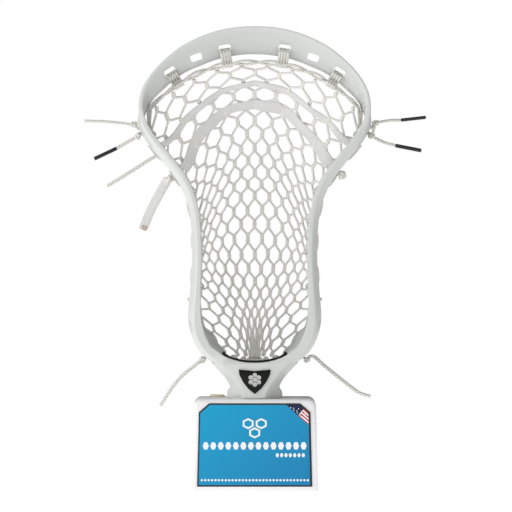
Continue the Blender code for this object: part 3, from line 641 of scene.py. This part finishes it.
foot = [hole_end(-1, 11, 2.0), hole_end(-1, 11, -0.6)]
foot += [mesh_point(-5, row) + Vector((0, 2.2, 0)) for row in (20.4, 21.4, 22.4, 23.4, 24.2)]
for i in range(21):
    cells = -5 + i / 2
    wave = 1.7 * (-1) ** i
    foot.append(mesh_point(cells, 24.5) + Vector((0, 2.2, -1.2)) + Vector((0, wave * 0.7, wave)))
foot += [mesh_point(5, row) + Vector((0, 2.2, 0)) for row in (24.2, 23.4, 22.4, 21.4, 20.4)]
foot += [hole_end(1, 11, -0.6), hole_end(1, 11, 2.0)]
bottom_string = strung("laced_bottom_string", [smooth_cord(foot, 2.4)], nylon_braid)
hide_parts("bottom_string")


# ------------------------------------------------------------------ hangers
# Short cords that tie the top string to the scoop. Each goes up the inside of the scoop, out
# through a slot, down the back and under the string, four times side by side.

# Slot in the scoop: x, z, tilt in degrees, depth of its inner and outer mouth, depth of the
# scoop's back edge, and how far below the slot that edge lies.
USED_SLOTS = {"inner": (22.8, 337.7, 8.0, -20.0, -15.2, -10.0, 6.9),
              "outer": (64.7, 319.9, 33.0, -15.3, -8.1, -4.0, 5.2)}
for side, word in ((-1, "left"), (1, "right")):
    for slot_word, (x, z, tilt, inside, outside, back, fall) in USED_SLOTS.items():
        tilt = math.radians(tilt)
        centre = Vector((side * x, 0, z))
        down = Vector((-side * math.sin(tilt), 0, -math.cos(tilt)))
        level = Vector((side * math.cos(tilt), 0, -math.sin(tilt)))
        near = min((mesh_point(side * cells / 20, 0.0) for cells in range(10, 100)),
                   key=lambda p: abs((p - centre).dot(level)))
        reach = (near - centre).dot(down) - 3.2
        hanger = []
        for offset in (-3.15, -1.05, 1.05, 3.15):
            loop = []
            # Depth, and drop below the slot: up the inside, through, down the back and under.
            for depth, drop in ((near.y - 2.9, reach - 0.4), (back - 4.6, fall + 1.2),
                                (inside - 1.5, 4.4), (inside + 0.6, 1.6),
                                ((inside + outside) / 2, 1.1), (outside + 1.4, 1.5),
                                (back - 0.4, 2.4), (back + 1.9, fall - 1.8),
                                (back + 1.2, fall + 1.0), (near.y + 2.6, reach - 0.6),
                                (near.y + 2.4, reach + 1.2), (near.y, reach + 2.4),
                                (near.y - 2.6, reach + 1.2), (near.y - 2.9, reach - 0.3)):
                loop.append(centre + Vector((0, depth, 0)) + down * drop + level * offset)
            hanger.append(smooth_cord(loop, 2.2))
        tied = strung(f"hanger_loop_{word}_{slot_word}", hanger, nylon_braid)
        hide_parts(f"hanger_{word}_{slot_word}")


# ------------------------------------------------------------------ shooting laces
# Two flat woven laces arch across the mesh along its second and fourth rows. They pass in front
# of one bar and behind the next, and their ends are drawn into holes in the rails.

# Woven polyester lace: flat, soft and close, with fine ribs that lean both ways and painted shade
# between them.
RIB = 1.5                     # from one rib of the weave to the next
woven_lace = textile("woven polyester lace", "#ECECEA", "#CDCCC9", RIB, 9, 0.2)
# Width in mm, the rail's hole that takes each end, and the way across: cells from the middle,
# and rows from the top.


def smoothed_way(way):
    """Steps of a tenth of a cell or less along a way of cells and rows."""
    flat = smoothed([(cells * 10, row * 10, 0.0) for cells, row in way], 1.0)
    return [(cells / 10, row / 10) for cells, row, _ in flat]


LACES = {
    "shooting_lace_upper": (5.4, 1, [
        (-4.85, 2.0), (-4.4, 2.2), (-4.1, 2.3), (-3.75, 2.35), (-3.3, 2.25), (-2.8, 2.2),
        (-2.25, 2.2), (-1.7, 2.25), (-0.9, 2.15), (0.0, 2.0), (0.85, 2.15), (1.7, 2.3),
        (2.65, 2.3), (3.6, 2.1), (4.3, 2.0), (4.85, 1.8)]),
    "shooting_lace_lower": (9.4, 3, [
        (-4.85, 4.2), (-4.4, 4.25), (-3.9, 4.2), (-3.25, 3.95), (-2.85, 3.85), (-2.35, 3.85),
        (-1.7, 3.9), (-1.15, 3.85), (-0.55, 3.8), (0.0, 3.77), (0.55, 3.8), (1.3, 3.8),
        (2.2, 3.87), (2.9, 3.9), (3.6, 3.9), (4.3, 3.85), (4.85, 3.8)]),
}
for name, (width, hole, way) in LACES.items():
    rows = []
    for cells, row in smoothed_way(way):
        facing = mesh_facing(cells, row)
        weave = 1.0 + 1.2 * math.cos(math.pi * (abs(cells) - 0.5))
        roll = Vector((0, 0, 0.3 * math.sin(1.7 * cells)))
        rows.append((*(mesh_point(cells, row) + facing * weave), *(facing + roll)))
    lace = strung("woven_" + name, [sweep(smoothed(rows, 0.9), width, 1.3, 14, 0.6, 0.02, RIB)],
                  woven_lace)
    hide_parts(name)
    tucks = []
    for side in (-1, 1):
        start = rows[0] if side < 0 else rows[-1]
        mouth = hole_end(side, hole, -0.4)
        halfway = Vector(start[:3]).lerp(mouth, 0.6)
        tuck = [start, (*halfway, *start[3:]), (*mouth, *start[3:]),
                (*hole_end(side, hole, 1.2), *start[3:])]
        tucks.append(sweep(smoothed(tuck, STEP), 3.6, 2.0, 12, 0.7, 0.04, RIB))
    strung("tucked_ends_" + name, tucks, woven_lace)


# ------------------------------------------------------------------ knots
# Overhand knots pulled tight against the outside of the rails. They stop the strings.

# Centre and radius.
KNOTS = {
    "knot_left_top": (-93.2, 5.5, 280.4, 2.6), "knot_left_mid": (-90.2, 6.5, 271.6, 2.6),
    "knot_left_low": (-65.8, 7.5, 238.6, 3.4), "knot_right_top": (93.4, 5.5, 281.8, 2.6),
    "knot_right_mid": (90.2, 6.5, 271.6, 2.6), "knot_right_low": (67.4, 7.5, 241.4, 3.4),
    "knot_bottom_left": (-40.6, 14.0, 98.6, 2.6), "knot_bottom_right": (40.6, 14.0, 98.6, 2.6),
}
# Where each knot's string comes out of the frame.
OUTLETS = [(-89.2, 7.5, 276.5), (-87.2, 8.1, 273.5), (-62.4, 9.5, 241.0), (89.6, 7.5, 277.8),
           (87.2, 8.1, 273.5), (63.2, 9.5, 243.4), (-37.6, 14.6, 100.6), (37.6, 14.6, 100.6)]
for number, (name, (x, y, z, radius)) in enumerate(KNOTS.items()):
    turn = Matrix.Rotation(number * 1.1, 3, "Z") @ Matrix.Rotation(1.0 + number * 0.7, 3, "X")
    rows = []
    for i in range(49):
        t = 2 * math.pi * i / 48
        ring = radius * (0.5 + 0.26 * math.cos(3 * t))
        local = Vector((ring * math.cos(2 * t), ring * math.sin(2 * t),
                        radius * 0.42 * math.sin(3 * t)))
        rows.append(Vector((x, y, z)) + turn @ local)
    stem = [OUTLETS[number], (x, y, z)]
    knot = strung("tied_" + name,
                  [cord(smoothed(rows, 0.7), radius * 0.8, 2.6), smooth_cord(stem, 2.0)],
                  nylon_braid)
    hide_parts(name)


# ------------------------------------------------------------------ free ends
# The strings' ends stand out from the rails, stiff with wax. Three end in a black tip that was
# crimped on, one is a flat lace with a clear shrunk tip, and the rest are cut and sealed.

# Diameter, the way from the frame outwards, and the tip.
TAILS = {
    "tail_left_top": (2.2, [(-95.9, 5.3, 280.6), (-106.0, 3.0, 281.8), (-118.0, 0.5, 282.6),
                            (-131.0, -1.0, 282.9)], None),
    "tail_left_mid": (2.6, [(-92.6, 6.1, 270.2), (-99.0, 5.0, 266.4), (-106.2, 3.0, 262.2),
                            (-114.9, 1.0, 257.9), (-122.3, -0.8, 254.3)], "aglet_left_mid"),
    "tail_left_low": (2.6, [(-76.4, 8.4, 256.0), (-80.5, 7.6, 253.9), (-88.0, 6.0, 249.0),
                            (-101.0, 3.0, 240.6), (-113.7, 1.0, 232.7)], None),
    "tail_bottom_left": (2.6, [(-42.6, 13.7, 97.2), (-50.0, 12.2, 91.4), (-57.5, 10.5, 84.9),
                               (-65.0, 8.5, 75.6), (-72.9, 6.0, 63.1)], None),
    "tail_right_top": (2.2, [(96.1, 5.2, 282.3), (105.0, 3.0, 283.6), (112.4, 1.5, 283.6),
                             (122.0, 0.2, 284.7), (130.7, -0.9, 285.6)], "aglet_right_top"),
    "tail_right_mid": (2.6, [(92.6, 6.0, 270.3), (100.0, 4.0, 266.6), (108.2, 2.0, 264.2),
                             (118.0, 0.0, 262.1), (127.0, -1.8, 260.3)], "aglet_right_mid"),
    "tail_bottom_right": (2.6, [(41.6, 14.0, 100.4), (43.7, 13.8, 101.3), (46.2, 13.5, 100.9),
                                (49.6, 12.8, 98.0), (54.2, 11.7, 93.8), (61.5, 10.0, 87.9),
                                (74.3, 7.0, 77.8), (80.7, 5.0, 73.4), (89.3, 4.0, 70.6)], None),
}


# Black acetate film, shrunk on: smooth and glossy. The clear tip is PVC tube, a little yellowed.
acetate = moulded("black acetate, shrunk", "#17171A", "#101012", 0.26, 3, 0.5, 0.01)
for name, (diameter, route, tip) in TAILS.items():
    rows = smoothed(route, STEP)
    tail = strung("braided_" + name, [cord(rows, diameter, ends=0.7)], nylon_braid)
    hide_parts(name)
    tips = []
    if tip:
        tips = [refined(tip, "crimped_" + tip, "head", acetate, 40, 0.35)]

clear_pvc = moulded("clear PVC tube, shrunk", "#E6D3CB", "#DCC6BC", 0.22, 3, 0.6, 0.01)
clear_pvc.node_tree.nodes["Principled BSDF"].inputs["Transmission Weight"].default_value = 0.35
clear_tip = refined("lace_tip_left", "shrunk_lace_tip", "head", clear_pvc, 40, 0.4)
lace_route = [(-66.8, 7.0, 238.4), (-69.4, 7.4, 234.6), (-75.0, 6.6, 224.6), (-80.6, 5.4, 213.6),
              (-85.0, 4.6, 203.0), (-86.2, 4.3, 200.0)]
lace_rows = [(*row, 0.15, -1.0, 0.1 + 0.25 * math.sin(0.09 * k))
             for k, row in enumerate(smoothed(lace_route, 0.9))]
lace_tail = strung("woven_lace_tail", [sweep(lace_rows, 7.0, 1.1, 14, 0.55, 0.02, RIB, 0.8)],
                   woven_lace)
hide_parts("lace_tail_left")

bridge = [(92.8, 5.6, 280.2), (92.2, 5.8, 277.8), (91.5, 6.1, 275.2), (90.8, 6.3, 273.0)]
bridge_cord = strung("braided_bridge_right", [smooth_cord(bridge, 2.2)], nylon_braid)
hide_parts("string_bridge_right")


# ------------------------------------------------------------------ rubber band
# A loop of natural rubber, cut from tube, that lies on the block beside the throat's foot.

# Natural rubber: translucent beige with a waxy, uneven bloom.
rubber = moulded("natural rubber, cut from tube", "#E0D6BB", "#CDBE9B", 0.55, 2, 0.5, 0.03)
band_low, band_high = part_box("rubber_band")
band_middle = (band_low + band_high) / 2
bpy.ops.object.select_all(action="DESELECT")
bpy.ops.mesh.primitive_torus_add(major_radius=5.1 * MM, minor_radius=0.75 * MM, major_segments=56,
                                 minor_segments=12, location=band_middle)
band = bpy.context.object
band.name = "rubber_loop"
for vertex in band.data.vertices:
    turn = math.atan2(vertex.co.y, vertex.co.x)
    vertex.co.y *= 0.86 + 0.06 * math.cos(3 * turn)
    vertex.co.z += 0.12 * MM * math.sin(2 * turn) ** 2
bpy.ops.object.shade_smooth()
bpy.ops.object.transform_apply(location=True, rotation=True, scale=True)
band.data.materials.append(rubber)
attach(band, "display_block")
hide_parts("rubber_band")


# ------------------------------------------------------------------ where it stands
# A white paper sweep, a large soft light at the left, a weaker one above and a pale room.

bpy.ops.object.select_all(action="DESELECT")
bpy.ops.mesh.primitive_plane_add(size=1.0, location=(0, 0, 0))
sweep_paper = bpy.context.object
sweep_paper.name = "paper_sweep"
bpy.ops.object.mode_set(mode="EDIT")
bpy.ops.transform.resize(value=(5.0, 3.0, 1.0))
bpy.ops.object.mode_set(mode="OBJECT")
paper = bpy.data.materials.new("white seamless paper")
paper.use_nodes = True
paper_shader = paper.node_tree.nodes["Principled BSDF"]
paper_shader.inputs["Base Color"].default_value = linear("#F6F6F6")
paper_shader.inputs["Roughness"].default_value = 0.9
paper_shader.inputs["Specular IOR Level"].default_value = 0.0
paper_shader.inputs["Emission Color"].default_value = (1.0, 1.0, 1.0, 1.0)
paper_shader.inputs["Emission Strength"].default_value = 0.72
sweep_paper.data.materials.append(paper)

studio = bpy.context.scene
studio.view_settings.view_transform = "Standard"
# The room is pale in front of the head and dim behind and above it. It is seen as plain white.
room = bpy.data.worlds.new("pale room")
studio.world = room
room.use_nodes = True
glow = room.node_tree.nodes["Background"]
glow.inputs["Color"].default_value = (1.0, 1.0, 1.0, 1.0)
compass = add(room, "ShaderNodeTexCoord").outputs["Generated"]
towards = add(room, "ShaderNodeVectorMath", {"operation": "DOT_PRODUCT"},
              {1: (-0.4, -0.85, -0.3)}, {0: compass})
fade = add(room, "ShaderNodeMapRange", {"interpolation_type": "SMOOTHSTEP"},
           {"From Min": -0.7, "From Max": 0.9, "To Min": 0.12, "To Max": 0.74},
           {"Value": towards.outputs["Value"]})
room.node_tree.links.new(fade.outputs["Result"], glow.inputs["Strength"])
plain_white = add(room, "ShaderNodeBackground",
                  inputs={"Color": (1.0, 1.0, 1.0, 1.0), "Strength": 1.0})
seen = add(room, "ShaderNodeLightPath").outputs["Is Camera Ray"]
either = add(room, "ShaderNodeMixShader", links={
    "Fac": seen, 1: glow.outputs["Background"], 2: plain_white.outputs["Background"]})
room.node_tree.links.new(either.outputs["Shader"],
                         room.node_tree.nodes["World Output"].inputs["Surface"])

# Soft lights: place, aim, size in metres, and power in watts.
for light_name, place, size, power in (("soft_left", (-1.8, -0.7, 0.6), 1.0, 13.0),
                                       ("soft_top", (-0.3, -0.5, 1.7), 0.8, 2.0)):
    lamp = bpy.data.lights.new(light_name, "AREA")
    lamp.size = size
    lamp.energy = power
    light = bpy.data.objects.new(light_name, lamp)
    studio.collection.objects.link(light)
    light.location = place
    light.rotation_euler = (Vector((0, 0, 0.2)) - Vector(place)).to_track_quat("-Z", "Y").to_euler()

# The camera faces the head straight on, from the height of its middle.
CAMERA_DISTANCE = 2.0
VIEW_WIDTH = 0.3942
lens = bpy.data.cameras.new("camera")
camera = bpy.data.objects.new("camera", lens)
studio.collection.objects.link(camera)
camera.location = (0.001, -CAMERA_DISTANCE, 0.179)
camera.rotation_euler = (math.radians(90), 0, 0)
lens.sensor_width = 36.0
lens.lens = lens.sensor_width * CAMERA_DISTANCE / VIEW_WIDTH
studio.camera = camera
